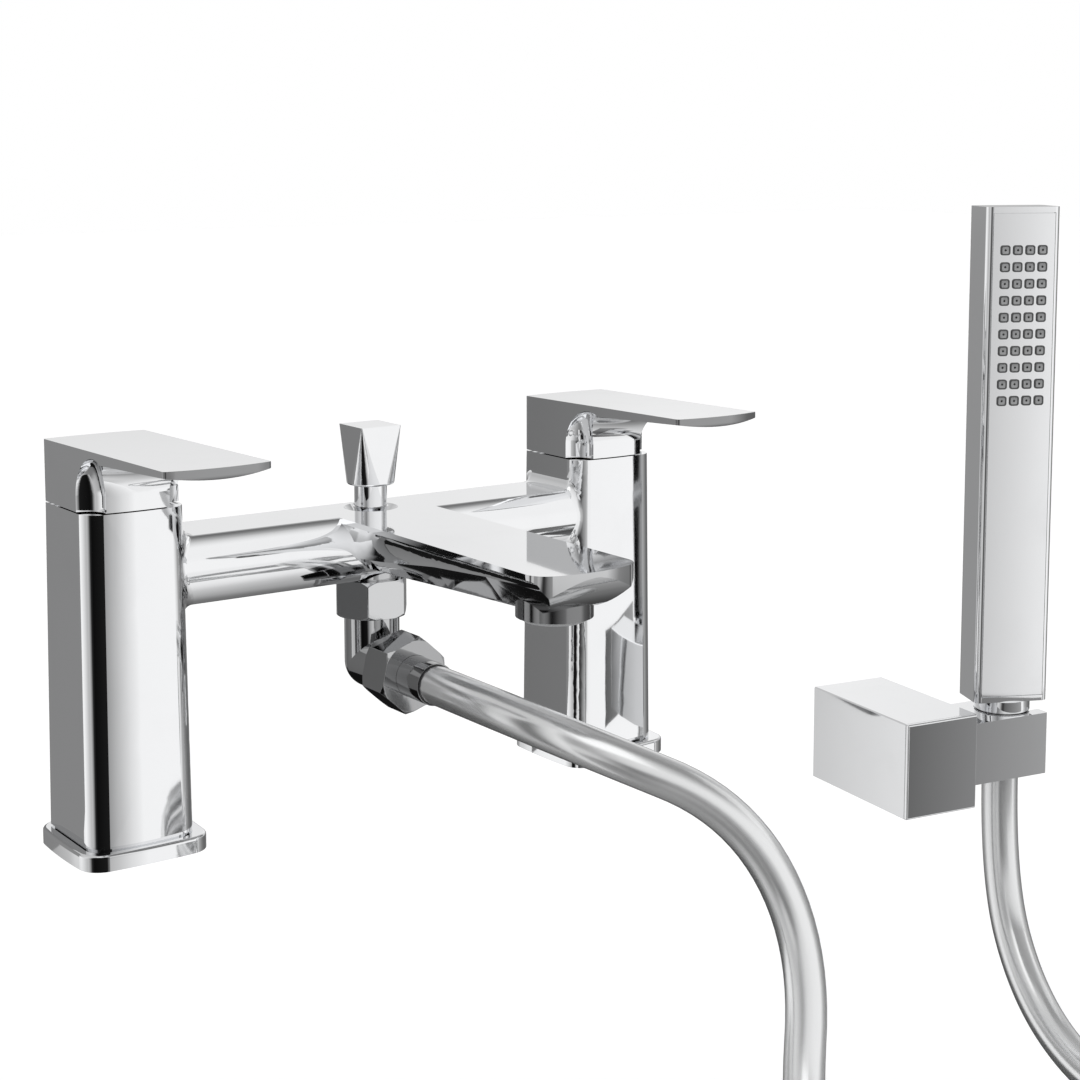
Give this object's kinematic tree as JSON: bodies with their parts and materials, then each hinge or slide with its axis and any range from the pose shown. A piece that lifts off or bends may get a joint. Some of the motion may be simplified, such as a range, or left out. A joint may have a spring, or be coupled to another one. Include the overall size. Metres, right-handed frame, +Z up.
{
  "type": "bath shower mixer",
  "caption": "Deck-mounted bath mixer on square pillars with lever handles, bridge spout, pull-up diverter, hose, stick handset and tilting wall bracket.",
  "frame": {"origin": "midway between the two inlets, on the deck face under the base plates", "axes": "+X from the hot pillar to the cold pillar, -Y the way the spout points, +Z up"},
  "size_m": [0.3255, 0.3364, 0.3235],
  "materials": {
    "chrome_body": "polished",
    "chrome_handle": "polished",
    "chrome_trim": "polished",
    "chrome_bracket": "polished",
    "handset_chrome": "polished",
    "handset_face": "satin",
    "nozzle_grey": "matte",
    "hose": "silver satin",
    "rubber": "matte",
    "brass": "machined",
    "steel": "zinc plated",
    "ceramic": "lapped"
  },
  "bodies": {
    "mixer": {"body_casting": "chrome_body", "hot_base_plate": "chrome_trim", "cold_base_plate": "chrome_trim", "hot_cartridge": "brass", "cold_cartridge": "brass", "hot_fixed_disc": "ceramic", "cold_fixed_disc": "ceramic", "diverter_bonnet": "chrome_trim", "outlet_nipple": "chrome_trim", "outlet_nut": "chrome_trim", "outlet_elbow": "chrome_trim", "hose_nut": "chrome_trim", "hose_ferrule": "chrome_trim", "hose_seal_ring": "rubber", "aerator_housing": "chrome_trim", "aerator_insert": "nozzle_grey", "hose_front": "hose", "hose_coil": "hose", "hose_riser": "hose", "bracket_cover": "chrome_bracket", "bracket_cap": "chrome_bracket", "bracket_wall_plate": "steel", "bracket_wall_screw_left": "steel", "bracket_wall_screw_right": "steel", "bracket_grub_screw": "steel"},
    "hot_lever": {"hot_handle": "chrome_handle", "hot_spindle": "brass", "hot_moving_disc": "ceramic", "hot_handle_screw": "steel"},
    "cold_lever": {"cold_handle": "chrome_handle", "cold_spindle": "brass", "cold_moving_disc": "ceramic", "cold_handle_screw": "steel"},
    "diverter": {"diverter_knob": "chrome_handle", "diverter_stem": "chrome_trim", "diverter_plug": "rubber"},
    "arm": {"bracket_arm": "chrome_bracket", "bracket_pivot_pin": "steel"},
    "hose_end": {"hose_tail": "brass"},
    "handset": {"handset_body": "handset_chrome", "handset_face_plate": "handset_face", "handset_nozzles": "nozzle_grey", "handset_cone_nut": "handset_chrome"}
  },
  "joints": [
    {"name": "hot_lever_turn", "type": "hinge", "parent": "mixer", "child": "hot_lever", "pos_m": [-0.09, 0, 0.1082], "axis": [0, 0, 1], "range_deg": [-90, 0]},
    {"name": "cold_lever_turn", "type": "hinge", "parent": "mixer", "child": "cold_lever", "pos_m": [0.09, 0, 0.1082], "axis": [0, 0, 1], "range_deg": [0, 90]},
    {"name": "diverter_lift", "type": "slide", "parent": "mixer", "child": "diverter", "axis": [0, 0, 1], "range_m": [0, 0.0078]},
    {"name": "bracket_tilt", "type": "hinge", "parent": "mixer", "child": "arm", "pos_m": [0.1997, -0.0966, 0.008], "axis": [0.9903, -0.1392, 0], "range_deg": [-8, 40], "deforming": ["hose_riser"]},
    {"name": "handset_lift", "type": "slide", "parent": "arm", "child": "hose_end", "axis": [0, 0, 1], "range_m": [0, 0.045], "deforming": ["hose_riser"]},
    {"name": "handset_turn", "type": "hinge", "parent": "hose_end", "child": "handset", "pos_m": [0.1997, -0.0966, 0.004], "axis": [0, 0, 1], "continuous": true}
  ]
}
